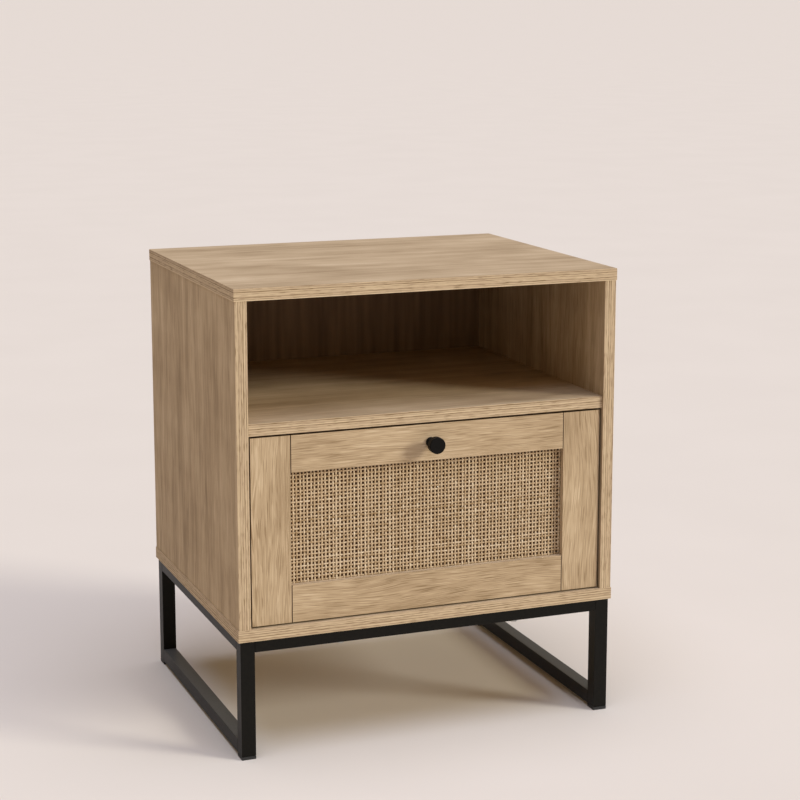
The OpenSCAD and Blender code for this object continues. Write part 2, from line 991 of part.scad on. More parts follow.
module front_fixing_screws() {
    color(zinc)
        at_fixing_screws()
            sunk_screw(fixing_screw_r, fixing_screw_head_r, box_t + fixing_screw_bite);
}

top_panel();
bottom_panel();
left_side_panel();
right_side_panel();
shelf();
back_panel();
carcass_dowels();
carcass_screws();
shelf_cams();
shelf_cam_bolts();
back_panel_screws();
left_front_leg();
left_rear_leg();
right_front_leg();
right_rear_leg();
left_top_rail();
right_top_rail();
left_floor_rail();
right_floor_rail();
front_cross_rail();
rear_cross_rail();
left_front_glide();
left_rear_glide();
right_front_glide();
right_rear_glide();
base_screws();
left_slide_channel();
right_slide_channel();
left_slide_middle();
right_slide_middle();
left_slide_runner();
right_slide_runner();
slide_channel_screws();
slide_runner_screws();
left_stile();
right_stile();
front_top_rail();
front_bottom_rail();
frame_dowels();
cane_webbing();
top_bead();
bottom_bead();
left_bead();
right_bead();
knob();
knob_screw();
left_drawer_side();
right_drawer_side();
drawer_box_front();
drawer_box_back();
drawer_floor();
drawer_corner_screws();
front_fixing_screws();
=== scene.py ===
# Looks of the nightstand: oak-look boards, a woven cane panel and a black steel base.
import math
import random

import bpy
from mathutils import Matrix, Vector, noise


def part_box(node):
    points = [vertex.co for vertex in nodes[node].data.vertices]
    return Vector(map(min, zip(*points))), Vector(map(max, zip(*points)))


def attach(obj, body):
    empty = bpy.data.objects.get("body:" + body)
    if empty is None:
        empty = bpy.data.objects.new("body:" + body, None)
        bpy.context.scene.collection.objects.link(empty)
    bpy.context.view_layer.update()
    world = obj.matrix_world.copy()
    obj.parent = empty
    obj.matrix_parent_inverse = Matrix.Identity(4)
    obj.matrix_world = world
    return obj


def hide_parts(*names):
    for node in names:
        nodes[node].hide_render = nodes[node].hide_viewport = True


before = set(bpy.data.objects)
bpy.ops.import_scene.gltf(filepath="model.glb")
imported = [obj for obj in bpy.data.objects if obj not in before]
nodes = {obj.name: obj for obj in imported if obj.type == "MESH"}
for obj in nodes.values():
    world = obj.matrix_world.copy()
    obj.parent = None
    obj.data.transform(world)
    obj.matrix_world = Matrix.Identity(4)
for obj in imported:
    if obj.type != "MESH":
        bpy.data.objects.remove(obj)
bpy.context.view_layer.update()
scene = bpy.context.scene

MM = 0.001  # metres in a millimetre
X, Y, Z = 0, 1, 2

SIDES = ("left", "right")
ENDS = ("front", "rear")
BOARDS = ("top_panel", "bottom_panel", "shelf", "left_side_panel", "right_side_panel")
DRAWER_FRAME = ("left_stile", "right_stile", "front_top_rail", "front_bottom_rail")
LEGS = tuple(f"{side}_{end}_leg" for side in SIDES for end in ENDS)
SIDE_RAILS = tuple(f"{side}_{level}_rail" for side in SIDES for level in ("top", "floor"))
TUBES = (*LEGS, *SIDE_RAILS, "front_cross_rail", "rear_cross_rail")

# ---- Camera ----

CAMERA_AT = (-0.8876, -2.3673, 0.9123)  # metres, in front of the left front corner
CAMERA_TURN = 21.225  # degrees towards +X
CAMERA_TILT = 10.193  # degrees down
LENS = 88.38  # millimetres, on a 36 mm sensor
DROP = 0.06  # how far the lens is shifted down, as a share of the frame
FLOOR_REACH = 4000  # metres, so that the floor ends at the horizon
FLOOR_RINGS = (3, 30, 300, FLOOR_REACH)  # radii in metres, so that no face is too long


def place_camera():
    data = bpy.data.cameras.new("camera")
    data.lens = LENS
    data.sensor_width = 36
    data.shift_y = -DROP
    data.clip_end = 2 * FLOOR_REACH
    camera = bpy.data.objects.new("camera", data)
    camera.location = CAMERA_AT
    camera.rotation_euler = (math.radians(90 - CAMERA_TILT), 0, math.radians(-CAMERA_TURN))
    scene.collection.objects.link(camera)
    scene.camera = camera


# ---- Material helpers ----


def colour(code):
    """A hex sRGB colour as linear RGBA."""
    parts = [int(code[i : i + 2], 16) / 255 for i in (1, 3, 5)]
    return [c / 12.92 if c <= 0.04045 else ((c + 0.055) / 1.055) ** 2.4 for c in parts] + [1]


def add(tree, kind, inputs=None, stops=None, **settings):
    """Adds a shader node with its settings, and links its inputs or sets them.

    An input is named, or numbered where names repeat; a node given as a value is linked
    from its first output in use. Stops are the places and hex colours of a ramp.
    """
    made = tree.nodes.new("ShaderNode" + kind)
    for name, value in settings.items():
        setattr(made, name, value)
    for key, value in (inputs or {}).items():
        named = [s for s in made.inputs if s.enabled and s.name == key]
        socket = named[0] if named else made.inputs[key]
        if isinstance(value, bpy.types.Node):
            value = next(out for out in value.outputs if out.enabled)
        if isinstance(value, bpy.types.NodeSocket):
            tree.links.new(value, socket)
        else:
            socket.default_value = value
    if stops:
        elements = made.color_ramp.elements
        for place, _ in stops[1:-1]:
            elements.new(place)
        for element, (place, code) in zip(elements, stops):
            element.position = place
            element.color = colour(code)
    return made


def new_material(name):
    """An empty material with its Principled shader in place."""
    material = bpy.data.materials.new(name)
    material.use_nodes = True
    tree = material.node_tree
    tree.nodes.clear()
    shader = add(tree, "BsdfPrincipled")
    add(tree, "OutputMaterial", {"Surface": shader})
    return material, tree, shader


def wire(tree, shader, base, gloss, bump):
    """Links the colour, the roughness and the relief to the shader."""
    tree.links.new(base, shader.inputs["Base Color"])
    tree.links.new(gloss.outputs[0], shader.inputs["Roughness"])
    tree.links.new(bump.outputs[0], shader.inputs["Normal"])


def dress(material, *names):
    """Gives CAD nodes this material."""
    for name in names:
        nodes[name].material_slots[0].material = material


def mixed_tone(tree, noises, marks=()):
    """One tone about 0.5 out of several noises, each with its share, and marks laid over them."""
    total = 0.5 - 0.5 * sum(share for _, share in noises)
    for tone, share in [*noises, *marks]:
        inputs = {0: tone, 1: share, 2: total}
        total = add(tree, "Math", inputs, operation="MULTIPLY_ADD")
    return total


# ---- Oak foil ----

# Grain sizes in millimetres, along the board and across it. The pores and fibres of real oak
# are about 0.2 mm wide; they are drawn about 1 mm wide here, so that they show.
SWING = (210, 60)  # the slow swings that all of a board's grain follows
RING = 6.0  # from one growth ring to the next
BAND = (280, 20)
STREAK = (110, 5)
FIBRE = (38, 1.1)
BLOTCH = (150, 90)
DARK_HAIR = (40, 1.05)
PALE_HAIR = (38, 1.1)
HAIR_EDGE = (0.56, 0.64)  # the noise values where a hairline begins and where it is full
EDGE_LINE = 1.7  # the finest lines on the edge strip
EDGE_LAYER = 2.9  # from one of the edge strip's even lines to the next
EDGE_SWING = (260, 40)
EDGE_SWAY = 1.2
EDGE_FIBRE = (70, 0.9)
EDGE_HAIR = (16, 0.9)

# Shares of rings, bands, streaks, fibres, blotches and hairlines in each kind of board's tone;
# and of lines, fibres, hairlines and even layers in an edge strip's
FLAT_SHARES = (0.08, 0.22, 0.08, 0.16, 0.26, 0.04)
SIDE_SHARES = (0.08, 0.34, 0.12, 0.15, 0.2, 0.09)
FRAME_SHARES = (0.08, 0.12, 0.04, 0.15, 0.18, 0.12)
EDGE_SHARES = (0.4, 0.3, 0.1, 0.05)

FACE_TONES = [(0.34, "#8b7354"), (0.45, "#a78e6e"), (0.55, "#b9a07f"), (0.68, "#ceb797")]
JOINT = [(0.35, "#2e2117"), (0.65, "#4a382a")]  # a sawn end, dark from the saw
RAW_EDGE_AND_GAP_SHADE = [(0.35, "#4c3824"), (0.65, "#6a5138")]  # a raw particle board edge, darkened in part as painted shade in the gaps
EDGE_TONES = [(0.34, "#806949"), (0.46, "#b0977a"), (0.55, "#c2aa88"), (0.68, "#d2bc9a")]
ARRIS_TONE = "#d9c09c"  # the foil's trimmed corner, paler in part as a painted highlight
ARRIS_TRIM_AND_HIGHLIGHT = 0.55  # how much of that tone shows there
ARRIS_LEAN = (0.5, 0.42)  # a surface is on the arris if it leans so far, give or take so much

RAW_LEAN = 0.2  # a surface that leans at least so far to a raw side is raw too
LEFT, RIGHT, DOWN, UP = (-1, 0, 0), (1, 0, 0), (0, 0, -1), (0, 0, 1)


def grain_noise(tree, flat, size, seed, **settings):
    """Noise drawn out along the board: size is its length and width in millimetres."""
    scale = (1 / size[0], 1 / size[1], 1)
    placed = add(tree, "Mapping", {"Vector": flat, "Location": (seed, 2 * seed, 0), "Scale": scale})
    inputs = {"Vector": placed, "Scale": 1.0, "Detail": 2.0} | settings
    return add(tree, "TexNoise", inputs, noise_dimensions="2D")


def swung(tree, along, across, size, sway, seed):
    """The place across the board, swung to and fro along it by a share of sway."""
    plain = add(tree, "CombineXYZ", {"X": along, "Y": across})
    swing = grain_noise(tree, plain, size, seed, Detail=1.0)
    return add(tree, "Math", {0: swing, 1: sway, 2: across}, operation="MULTIPLY_ADD")


def line_noise(tree, across, spacing, seed):
    """Lines along the board, of uneven width and tone."""
    turns = add(tree, "Math", {0: across, 1: 1 / spacing, 2: seed}, operation="MULTIPLY_ADD")
    inputs = {"W": turns, "Scale": 1.0, "Detail": 1.0, "Roughness": 0.5}
    return add(tree, "TexNoise", inputs, noise_dimensions="1D")


def hairlines(tree, flat, size, seed):
    """Short thin lines: 1 in a line, 0 beside it."""
    dots = grain_noise(tree, flat, size, seed, Detail=1.0)
    begin, full = HAIR_EDGE
    return add(tree, "MapRange", {"Value": dots, "From Min": begin, "From Max": full})


def face_grain(tree, along, across, seed, shares, sway):
    """The wide faces: a soft figure, and fine dark and pale hairlines. Gives the colour, the
    fibres and the dark hairlines."""
    bent = swung(tree, along, across, SWING, sway, seed)
    flat = add(tree, "CombineXYZ", {"X": along, "Y": bent})
    rings = line_noise(tree, bent, RING, seed)
    band = grain_noise(tree, flat, BAND, seed + 19, Detail=3.0, Distortion=0.6)
    streak = grain_noise(tree, flat, STREAK, seed + 3, Detail=4.0, Distortion=0.4)
    fibre = grain_noise(tree, flat, FIBRE, seed + 5, Detail=3.0)
    blotch = grain_noise(tree, flat, BLOTCH, seed + 7)
    dark = hairlines(tree, flat, DARK_HAIR, seed + 9)
    pale = hairlines(tree, flat, PALE_HAIR, seed + 17)
    noises = [*zip((rings, band, streak, fibre, blotch), shares)]
    tone = mixed_tone(tree, noises, [(dark, -shares[5]), (pale, 0.7 * shares[5])])
    return add(tree, "ValToRGB", {"Fac": tone}, stops=FACE_TONES), fibre, dark


def edge_grain(tree, along, across, thick, seed):
    """The narrow edge strips: thin straight lines. Of along and across, one is the same all
    over an edge. Gives the colour and the fibres."""
    run = add(tree, "Math", {0: along, 1: across}, operation="ADD")
    bent = swung(tree, run, thick, EDGE_SWING, EDGE_SWAY, seed + 11)
    strip = add(tree, "CombineXYZ", {"X": run, "Y": bent})
    lines = line_noise(tree, bent, EDGE_LINE, seed)
    fibre = grain_noise(tree, strip, EDGE_FIBRE, seed + 13)
    dark = hairlines(tree, strip, EDGE_HAIR, seed + 15)
    turn = add(tree, "Math", {0: bent, 1: 2 * math.pi / EDGE_LAYER}, operation="MULTIPLY")
    layer = add(tree, "Math", {0: turn}, operation="SINE")
    shares = EDGE_SHARES
    noises = [(lines, shares[0]), (fibre, shares[1])]
    tone = mixed_tone(tree, noises, [(dark, -shares[2]), (layer, shares[3])])
    return add(tree, "ValToRGB", {"Fac": tone}, stops=EDGE_TONES), fibre


def oak_foil(name, axes, seed, shares, sway=16, raw=()):
    """Particle board wrapped in printed oak foil: a warm, half-matt plain-sawn grain with soft
    bands and hairlines on the faces, straight lines on the narrow edge strips, and a paler
    trimmed arris, paler in part as a painted highlight. Raw gives the ways that the raw sides face,
    and their tones; the dark raw sides around the drawer front are in part painted shade."""
    material, tree, shader = new_material(name)
    coords = add(tree, "TexCoord")
    inputs = {0: coords.outputs["Object"], 1: (1000, 1000, 1000)}
    in_mm = add(tree, "VectorMath", inputs, operation="MULTIPLY")
    place = add(tree, "SeparateXYZ", {"Vector": in_mm})
    facing = add(tree, "SeparateXYZ", {"Vector": coords.outputs["Normal"]})
    along, across, thick = (place.outputs[axis] for axis in axes)
    face_colour, fibre, dark = face_grain(tree, along, across, seed, shares, sway)
    edge_colour, edge_fibre = edge_grain(tree, along, across, thick, seed)

    turned = add(tree, "Math", {0: facing.outputs[axes[2]]}, operation="ABSOLUTE")
    on_face = add(tree, "Math", {0: turned, 1: 0.5}, operation="GREATER_THAN")
    inputs = {"Factor": on_face, "A": edge_colour, "B": face_colour}
    wood = add(tree, "Mix", inputs, data_type="RGBA")
    # painted highlight, in part: the arris is mixed towards the paler tone, as where light catches
    # it
    lean, leeway = ARRIS_LEAN
    at_arris = add(tree, "Math", {0: turned, 1: lean, 2: leeway}, operation="COMPARE")
    trim_and_highlight = add(tree, "Math", {0: at_arris, 1: ARRIS_TRIM_AND_HIGHLIGHT}, operation="MULTIPLY")
    inputs = {"Factor": trim_and_highlight, "A": wood, "B": colour(ARRIS_TONE)}
    shown = add(tree, "Mix", inputs, data_type="RGBA")
    # painted shade, in part: the raw sides that face the gaps around the drawer front are dark, so
    # the gaps read as shaded
    for way, tones in raw:
        raw_and_shade_tones = add(tree, "ValToRGB", {"Fac": edge_fibre}, stops=tones)
        inputs = {0: coords.outputs["Normal"], 1: way}
        towards = add(tree, "VectorMath", inputs, operation="DOT_PRODUCT")
        inputs = {0: towards.outputs["Value"], 1: RAW_LEAN}
        # this marks the raw sides, whose dark tones are in part painted shade
        sawn = add(tree, "Math", inputs, operation="GREATER_THAN")
        shown = add(tree, "Mix", {"Factor": sawn, "A": shown, "B": raw_and_shade_tones}, data_type="RGBA")

    shader.inputs["Specular IOR Level"].default_value = 0.22
    gloss = add(tree, "MapRange", {"Value": fibre, "To Min": 0.6, "To Max": 0.76})
    relief = add(tree, "Math", {0: dark, 1: -0.5, 2: fibre}, operation="MULTIPLY_ADD")
    bump = add(tree, "Bump", {"Strength": 0.1, "Distance": 0.1 * MM, "Height": relief})
    wire(tree, shader, shown.outputs[2], gloss, bump)
    return material


def dress_boards():
    """Each board has its own stretch of the printed grain."""
    flat = (X, Y, Z)
    upright = (Z, Y, X)
    stile = (Z, X, Y)
    rail = (X, Z, Y)
    for name, axes, seed, shares in (
        ("top_panel", flat, 11.3, FLAT_SHARES),
        ("bottom_panel", flat, 23.1, FLAT_SHARES),
        ("shelf", flat, 31.7, FLAT_SHARES),
        ("left_side_panel", upright, 43.9, SIDE_SHARES),
        ("right_side_panel", upright, 57.2, SIDE_SHARES),
    ):
        dress(oak_foil("oak_foil_" + name, axes, seed, shares), name)
    # the outer raw sides of the stiles and rails carry painted shade for the gaps
    stile_raw = [(DOWN, RAW_EDGE_AND_GAP_SHADE), (UP, RAW_EDGE_AND_GAP_SHADE)]
    rail_raw = [(LEFT, JOINT), (RIGHT, JOINT)]
    for name, axes, seed, sway, raw in (
        ("left_stile", stile, 64.4, 34, [(LEFT, RAW_EDGE_AND_GAP_SHADE), *stile_raw]),
        ("right_stile", stile, 71.8, 30, [(RIGHT, RAW_EDGE_AND_GAP_SHADE), *stile_raw]),
        ("front_top_rail", rail, 83.5, 12, [(UP, RAW_EDGE_AND_GAP_SHADE), *rail_raw]),
        ("front_bottom_rail", rail, 92.6, 26, [(DOWN, RAW_EDGE_AND_GAP_SHADE), *rail_raw]),
    ):
        dress(oak_foil("oak_foil_" + name, axes, seed, FRAME_SHARES, sway, raw), name)


# ---- Other materials ----


def powder_coated_steel():
    """Steel tube under matt black powder coat: near black, with a faint orange-peel surface,
    and a painted sheen on the tubes' tops: a paler grey that stands in for reflected light.
    Orange peel is about 1 mm across; it is drawn 3 mm across, so that it shows."""
    material, tree, shader = new_material("powder_coated_steel")
    coords = add(tree, "TexCoord")
    inputs = {"Vector": coords.outputs["Object"], "Scale": 1 / (3 * MM), "Detail": 3.0}
    peel = add(tree, "TexNoise", inputs)
    tones = add(tree, "ValToRGB", {"Fac": peel}, stops=[(0.3, "#0b0906"), (0.7, "#12100b")])
    # painted sheen: faces that look up get a paler grey, standing in for light reflected off them
    facing = add(tree, "SeparateXYZ", {"Vector": coords.outputs["Normal"]})
    on_top = add(tree, "Math", {0: facing.outputs[Z], 1: 0.5}, operation="GREATER_THAN")
    painted_sheen = add(tree, "ValToRGB", {"Fac": peel}, stops=[(0.3, "#4a4844"), (0.7, "#55534e")])
    inputs = {"Factor": on_top, "A": tones, "B": painted_sheen}
    shown = add(tree, "Mix", inputs, data_type="RGBA")
    shader.inputs["Specular IOR Level"].default_value = 0.14
    gloss = add(tree, "MapRange", {"Value": peel, "To Min": 0.34, "To Max": 0.46})
    bump = add(tree, "Bump", {"Strength": 0.25, "Distance": 0.05 * MM, "Height": peel})
    wire(tree, shader, shown.outputs[2], gloss, bump)
    return material


def knob_lacquer():
    """Turned metal knob with matt black lacquer: black, softly lit on its rim, with faint
    turning rings. They are drawn 0.6 mm apart, so that they show."""
    material, tree, shader = new_material("knob_lacquer")
    low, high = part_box("knob")
    centre = (low + high) / 2
    coords = add(tree, "TexCoord")
    inputs = {0: coords.outputs["Object"], 1: (centre.x, 0, centre.z)}
    moved = add(tree, "VectorMath", inputs, operation="SUBTRACT")
    inputs = {0: moved, 1: (1, 0, 1)}
    in_plane = add(tree, "VectorMath", inputs, operation="MULTIPLY")
    radius = add(tree, "VectorMath", {0: in_plane}, operation="LENGTH")
    inputs = {"W": radius.outputs["Value"], "Scale": 1 / (0.6 * MM), "Detail": 1.0}
    rings = add(tree, "TexNoise", inputs, noise_dimensions="1D")
    tones = add(tree, "ValToRGB", {"Fac": rings}, stops=[(0.3, "#0b0908"), (0.7, "#110f0d")])
    shader.inputs["Specular IOR Level"].default_value = 0.09
    gloss = add(tree, "MapRange", {"Value": rings, "To Min": 0.4, "To Max": 0.5})
    bump = add(tree, "Bump", {"Strength": 0.15, "Distance": 0.03 * MM, "Height": rings})
    wire(tree, shader, tones.outputs[0], gloss, bump)
    return material


def zinc_plated_steel():
    """Pressed steel with bright zinc plating: cool grey metal with cloudy, uneven gloss."""
    material, tree, shader = new_material("zinc_plated_steel")
    shader.inputs["Metallic"].default_value = 1.0
    coords = add(tree, "TexCoord")
    inputs = {"Vector": coords.outputs["Object"], "Scale": 1 / (6 * MM), "Detail": 4.0}
    cloud = add(tree, "TexNoise", inputs)
    tones = add(tree, "ValToRGB", {"Fac": cloud}, stops=[(0.3, "#a9a9a6"), (0.7, "#cfd0cd")])
    gloss = add(tree, "MapRange", {"Value": cloud, "To Min": 0.22, "To Max": 0.42})
    bump = add(tree, "Bump", {"Strength": 0.15, "Distance": 0.02 * MM, "Height": cloud})
    wire(tree, shader, tones.outputs[0], gloss, bump)
    return material


def moulded_plastic():
    """Black polyethylene glides, moulded with a fine spark-eroded grain."""
    material, tree, shader = new_material("moulded_polyethylene")
    coords = add(tree, "TexCoord")
    inputs = {"Vector": coords.outputs["Object"], "Scale": 1 / (0.8 * MM), "Detail": 2.0}
    grit = add(tree, "TexNoise", inputs)
    tones = add(tree, "ValToRGB", {"Fac": grit}, stops=[(0.3, "#151515"), (0.7, "#1f1e1e")])
    gloss = add(tree, "MapRange", {"Value": grit, "To Min": 0.5, "To Max": 0.65})
    bump = add(tree, "Bump", {"Strength": 0.3, "Distance": 0.05 * MM, "Height": grit})
    wire(tree, shader, tones.outputs[0], gloss, bump)
    return material


def fibre_board():
    """Thin hardboard: an oak-brown painted face inside, darkened in part as painted shade for the
    deep bay, and raw felted fibre on the back.
    """
    material, tree, shader = new_material("fibre_board")
    coords = add(tree, "TexCoord")
    facing = add(tree, "SeparateXYZ", {"Vector": coords.outputs["Normal"]})
    at = coords.outputs["Object"]
    inputs = {"Vector": at, "Scale": 1 / (5 * MM), "Detail": 6.0, "Roughness": 0.7}
    felt = add(tree, "TexNoise", inputs)
    raw = add(tree, "ValToRGB", {"Fac": felt}, stops=[(0.3, "#76573a"), (0.7, "#a07f5b")])
    placed = add(tree, "Mapping", {"Vector": at, "Scale": (1 / (9 * MM), 1, 1 / (170 * MM))})
    streak = add(tree, "TexNoise", {"Vector": placed, "Scale": 1.0, "Detail": 4.0})
    # painted shade, in part: the inside face is a darker brown than the foil, standing in for the
    # shade deep in the bay
    painted = add(tree, "ValToRGB", {"Fac": streak}, stops=[(0.3, "#6b523a"), (0.7, "#8c7053")])
    inside = add(tree, "Math", {0: facing.outputs[Y], 1: -0.5}, operation="LESS_THAN")
    inputs = {"Factor": inside, "A": raw, "B": painted}
    shown = add(tree, "Mix", inputs, data_type="RGBA")
    gloss = add(tree, "MapRange", {"Value": felt, "To Min": 0.55, "To Max": 0.8})
    bump = add(tree, "Bump", {"Strength": 0.2, "Distance": 0.1 * MM, "Height": felt})
    wire(tree, shader, shown.outputs[2], gloss, bump)
    return material


def linen_print_board(name, painted_shade_front=False):
    """Drawer box boards in pale paper foil with a printed linen weave, threads 1.2 mm apart.
    The board behind the cane has painted shade in front: dark brown, so that the cane's holes look
    shaded."""
    material, tree, shader = new_material(name)
    coords = add(tree, "TexCoord")
    at = coords.outputs["Object"]
    threads = []
    fine, long = 1 / (1.2 * MM), 1 / (40 * MM)
    for stretch in ((fine, long, fine), (long, fine, long)):
        placed = add(tree, "Mapping", {"Vector": at, "Scale": stretch})
        threads.append(add(tree, "TexNoise", {"Vector": placed, "Scale": 1.0, "Detail": 1.0}))
    weave = mixed_tone(tree, [(thread, 0.5) for thread in threads])
    tones = add(tree, "ValToRGB", {"Fac": weave}, stops=[(0.35, "#b9a98f"), (0.65, "#d3c5ae")])
    shown = tones.outputs[0]
    # painted shade: the front face, seen through the cane's holes, is dark brown to stand in for
    # the shade inside the drawer
    if painted_shade_front:
        facing = add(tree, "SeparateXYZ", {"Vector": coords.outputs["Normal"]})
        in_front = add(tree, "Math", {0: facing.outputs[Y], 1: -0.5}, operation="LESS_THAN")
        shade_tones = add(tree, "ValToRGB", {"Fac": weave}, stops=[(0.35, "#58330c"), (0.65, "#6d4416")])
        inputs = {"Factor": in_front, "A": shown, "B": shade_tones}
        shown = add(tree, "Mix", inputs, data_type="RGBA").outputs[2]
    gloss = add(tree, "MapRange", {"Value": weave, "To Min": 0.5, "To Max": 0.65})
    bump = add(tree, "Bump", {"Strength": 0.15, "Distance": 0.05 * MM, "Height": weave})
    wire(tree, shader, shown, gloss, bump)
    return material


def planed_beech():
    """Bare beech for the dowels and beads: pale pink-brown with short dark flecks."""
    material, tree, shader = new_material("planed_beech")
    coords = add(tree, "TexCoord")
    inputs = {"Vector": coords.outputs["Object"], "Scale": 1 / (3 * MM), "Detail": 3.0}
    fleck = add(tree, "TexNoise", inputs)
    tones = add(tree, "ValToRGB", {"Fac": fleck}, stops=[(0.3, "#b98d64"), (0.7, "#dab98f")])
    gloss = add(tree, "MapRange", {"Value": fleck, "To Min": 0.55, "To Max": 0.7})
    bump = add(tree, "Bump", {"Strength": 0.2, "Distance": 0.05 * MM, "Height": fleck})
    wire(tree, shader, tones.outputs[0], gloss, bump)
    return material


def split_cane():
    """Woven strips of peeled rattan: dry straw colour that differs from strip to strip, with
    darker fibres along each strip and a low sheen. The upright strips are painted paler, as
    lit, and the level ones darker, as painted shade."""
    material, tree, shader = new_material("split_cane")
    coords = add(tree, "TexCoord")
    tone = add(tree, "Attribute", {}, attribute_name="strand_tone")
    along = add(tree, "Attribute", {}, attribute_name="strand_run")
    inputs = {"Vector": coords.outputs["Object"], "Scale": 1 / (2.2 * MM), "Detail": 3.0}
    spot = add(tree, "TexNoise", inputs)
    inputs = {"W": along.outputs["Fac"], "Scale": 1 / (14 * MM), "Detail": 2.0}
    stretch = add(tree, "TexNoise", inputs, noise_dimensions="1D")
    shares = [(tone.outputs["Fac"], 0.35), (spot, 0.5), (stretch, 0.4)]
    tones = [(0.3, "#977a52"), (0.5, "#bca17d"), (0.7, "#d4bf9f")]
    shade = add(tree, "ValToRGB", {"Fac": mixed_tone(tree, shares)}, stops=tones)
    gloss = add(tree, "MapRange", {"Value": spot, "To Min": 0.45, "To Max": 0.65})
    bump = add(tree, "Bump", {"Strength": 0.3, "Distance": 0.1 * MM, "Height": spot})
    wire(tree, shader, shade.outputs[0], gloss, bump)
    return material


def dress_fittings():
    glides = [f"{side}_{end}_glide" for side in SIDES for end in ENDS]
    parts = ("channel", "middle", "runner")
    slides = [f"{side}_slide_{part}" for side in SIDES for part in parts]
    screws = [name for name in nodes if name.endswith("_screws")]
    dress(powder_coated_steel(), *TUBES)
    dress(knob_lacquer(), "knob")
    dress(zinc_plated_steel(), *slides, *screws, "knob_screw", "shelf_cams", "shelf_cam_bolts")
    dress(moulded_plastic(), *glides)
    dress(fibre_board(), "back_panel")
    boxes = ["left_drawer_side", "right_drawer_side", "drawer_box_back", "drawer_floor"]
    dress(linen_print_board("linen_print_board"), *boxes)
    # the board behind the cane gets painted shade on its front
    dress(linen_print_board("linen_print_board_painted_shade_front", painted_shade_front=True), "drawer_box_front")
    beads = [f"{side}_bead" for side in ("top", "bottom", *SIDES)]
    dress(planed_beech(), *beads, "carcass_dowels", "frame_dowels")


# ---- Softened edges ----

BOARD_ARRIS = 0.7  # millimetres
FRAME_ARRIS = 0.5
TUBE_CORNER = 1.2
SAME_POINT = 0.005  # millimetres between points that are one
SHARP = 40  # degrees; a sharper bend than this is rounded


def soften(width, *names):
    """Rounds the sharp edges of CAD nodes by so many millimetres, as sanding or paint does."""
    for name in names:
        piece = nodes[name]
        weld = piece.modifiers.new("weld", "WELD")
        weld.merge_threshold = SAME_POINT * MM
        bevel = piece.modifiers.new("arris", "BEVEL")
        bevel.width = width * MM
        bevel.segments = 3
        bevel.limit_method = "ANGLE"
        bevel.angle_limit = math.radians(SHARP)
        bevel.harden_normals = True


def soften_edges():
    soften(BOARD_ARRIS, *BOARDS)
    soften(FRAME_ARRIS, *DRAWER_FRAME)
    soften(TUBE_CORNER, *TUBES)


# ---- Woven cane ----

PITCH = 4.6  # millimetres from strand to strand
STRAND_SIZES = {"upright": (2.45, 0.8), "level": (2.2, 0.8)}  # width and thickness
PAINTED_LIGHT_SHIFT = {"upright": 0.09, "level": -0.09}  # painted light: the upright strands are a little paler, as lit, and the level ones darker, as painted shade
RISE = 0.42  # how far a strand swings off the sheet's middle
STEPS = 3  # rings of the mesh between two crossings
JITTER = 0.1  # how far a strand stands off its place, as a share of the spacing
TONE_SPREAD = 0.13  # how much the strands differ in tone
GIRTH_SPREAD = 0.07  # and in width
SWAY = (0.35, 22)  # millimetres a strand wanders sideways, and over what length
SWELL = (0.22, 9)  # the share by which its width changes, and over how many millimetres
SECTION = [(-0.5, 0), (-0.3, 0.5), (0.3, 0.5), (0.5, 0), (0.3, -0.5), (-0.3, -0.5)]


def strand_places(low, high, luck):
    """Middles of the strands across the sheet, a little unevenly spaced."""
    count = int((high - low) / (PITCH * MM))
    step = (high - low) / count
    return [low + (i + 0.5 + luck.uniform(-JITTER, JITTER)) * step for i in range(count)]


def strand_rings(ends):
    """Where a strand's rings stand along it, and how many crossings each one is past."""
    rings = []
    for passed, (start, stop) in enumerate(zip(ends, ends[1:])):
        for step in range(STEPS):
            rings.append((start + (stop - start) * step / STEPS, passed + step / STEPS))
    rings.append((ends[-1], len(ends) - 1))
    return rings


def tube_faces(first, rings):
    """The faces of a closed tube of so many rings, whose points begin at first."""
    count = len(SECTION)
    faces = []
    for ring in range(rings - 1):
        start = first + ring * count
        for corner in range(count):
            a, b = start + corner, start + (corner + 1) % count
            faces.append((a, b, b + count, a + count))
    faces.append([first + corner for corner in range(count)][::-1])
    faces.append([first + (rings - 1) * count + corner for corner in range(count)])
    return faces


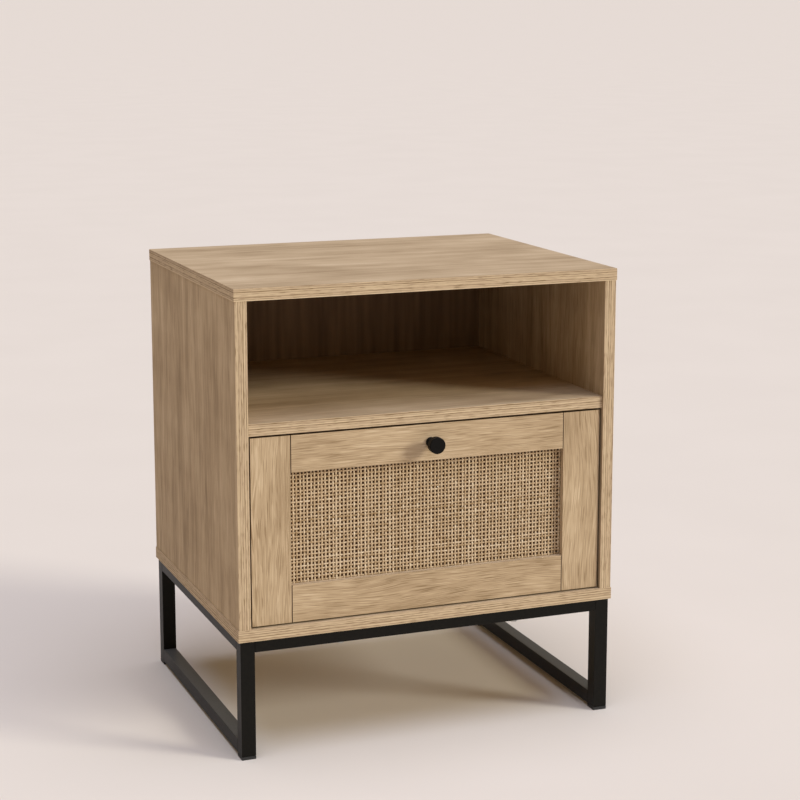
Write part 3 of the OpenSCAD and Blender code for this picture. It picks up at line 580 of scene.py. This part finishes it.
def weave(name, across, along, sheet, luck, parity):
    """All strands that run one way, as one mesh; they pass over and under the other way's."""
    low, high = sheet
    middle = (low.y + high.y) / 2
    width, thickness = STRAND_SIZES[name]
    run_axis = Z if name == "upright" else X
    rings = strand_rings([low[run_axis], *along, high[run_axis]])
    points, faces, tones, runs = [], [], [], []
    for i, place in enumerate(across):
        # the tone carries painted light: a paler shift for upright strands and a darker one for
        # level strands
        tone = min(1, max(0, luck.gauss(0.5 + PAINTED_LIGHT_SHIFT[name], TONE_SPREAD)))
        girth = luck.uniform(1 - GIRTH_SPREAD, 1 + GIRTH_SPREAD)
        seed = 10.0 * i + 1000 * parity
        first = len(points)
        for at, turn in rings:
            sway = SWAY[0] * MM * noise.noise(Vector((at / (SWAY[1] * MM), seed, 0)))
            bulge = SWELL[0] * noise.noise(Vector((at / (SWELL[1] * MM), seed, 5)))
            swell = girth * (1 + bulge)
            side = 1 if (i + parity) % 2 else -1
            y = middle + side * RISE * MM * math.cos(math.pi * turn)
            for u, v in SECTION:
                offset = place + sway + u * width * swell * MM
                depth = y + v * thickness * MM
                points.append((offset, depth, at) if run_axis == Z else (at, depth, offset))
                tones.append(tone)
                runs.append(at + seed)
        faces += tube_faces(first, len(rings))
    mesh = bpy.data.meshes.new("cane_" + name)
    mesh.from_pydata(points, [], faces)
    mesh.attributes.new("strand_tone", "FLOAT", "POINT").data.foreach_set("value", tones)
    mesh.attributes.new("strand_run", "FLOAT", "POINT").data.foreach_set("value", runs)
    for face in mesh.polygons:
        face.use_smooth = len(face.vertices) == 4
    mesh.validate()
    piece = bpy.data.objects.new("cane_" + name, mesh)
    scene.collection.objects.link(piece)
    return piece


def woven_cane():
    """The cane panel: upright and level strands woven one over, one under."""
    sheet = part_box("cane_webbing")
    low, high = sheet
    luck = random.Random(7)
    across = strand_places(low.x, high.x, luck)
    up = strand_places(low.z, high.z, luck)
    material = split_cane()
    for name, places, others, parity in (("upright", across, up, 0), ("level", up, across, 1)):
        piece = weave(name, places, others, sheet, luck, parity)
        piece.data.materials.append(material)
        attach(piece, "drawer")
        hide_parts("cane_webbing")


# ---- Floor and light ----


def pale_floor():
    """A plain matt floor in warm off-white, with a very slight cloudiness."""
    material, tree, shader = new_material("floor_paint")
    coords = add(tree, "TexCoord")
    inputs = {"Vector": coords.outputs["Object"], "Scale": 3.0, "Detail": 2.0}
    cloud = add(tree, "TexNoise", inputs)
    tones = add(tree, "ValToRGB", {"Fac": cloud}, stops=[(0.3, "#d6cabb"), (0.7, "#d8ccbd")])
    tree.links.new(tones.outputs[0], shader.inputs["Base Color"])
    shader.inputs["Roughness"].default_value = 0.9
    mesh = bpy.data.meshes.new("floor")
    sides = 32
    points = [(0, 0, 0)]
    faces = []
    for ring, radius in enumerate(FLOOR_RINGS):
        for side in range(sides):
            turn = 2 * math.pi * side / sides
            points.append((radius * math.cos(turn), radius * math.sin(turn), 0))
            here, ahead = (1 + ring * sides + k % sides for k in (side, side + 1))
            inner = [0] if ring == 0 else [ahead - sides, here - sides]
            faces.append([*inner, here, ahead])
    mesh.from_pydata(points, [], faces)
    mesh.materials.append(material)
    floor = bpy.data.objects.new("floor", mesh)
    scene.collection.objects.link(floor)


def sun(name, turn, height, level, spread, code):
    """A far light: turn is degrees to the right of the front, height degrees above the floor,
    level how bright it makes a white surface that faces it, and spread its width in degrees."""
    data = bpy.data.lights.new(name, "SUN")
    data.energy = math.pi * level
    data.angle = math.radians(spread)
    data.color = colour(code)[:3]
    lamp = bpy.data.objects.new(name, data)
    lamp.rotation_euler = (math.radians(90 - height), 0, math.radians(turn))
    scene.collection.objects.link(lamp)


def light_the_scene():
    """A key light low on the right, a broad soft one overhead and an even dim surround, which
    looks as pale as the floor where it shows past the horizon."""
    sun("key", 51, 20, 0.77, 16, "#fdfff9")
    sun("overhead", 0, 80, 0.93, 55, "#d3e0ff")
    world = bpy.data.worlds.new("studio")
    world.use_nodes = True
    tree = world.node_tree
    tree.nodes.clear()
    surround = add(tree, "Background", {"Color": colour("#fce2bc"), "Strength": 0.34})
    backdrop = add(tree, "Background", {"Color": colour("#e5dbd4")})
    rays = add(tree, "LightPath")
    inputs = {0: rays.outputs["Is Camera Ray"], 1: surround, 2: backdrop}
    shown = add(tree, "MixShader", inputs)
    add(tree, "OutputWorld", {"Surface": shown})
    scene.world = world
    scene.view_settings.view_transform = "Standard"


place_camera()
dress_boards()
dress_fittings()
soften_edges()
woven_cane()
pale_floor()
light_the_scene()
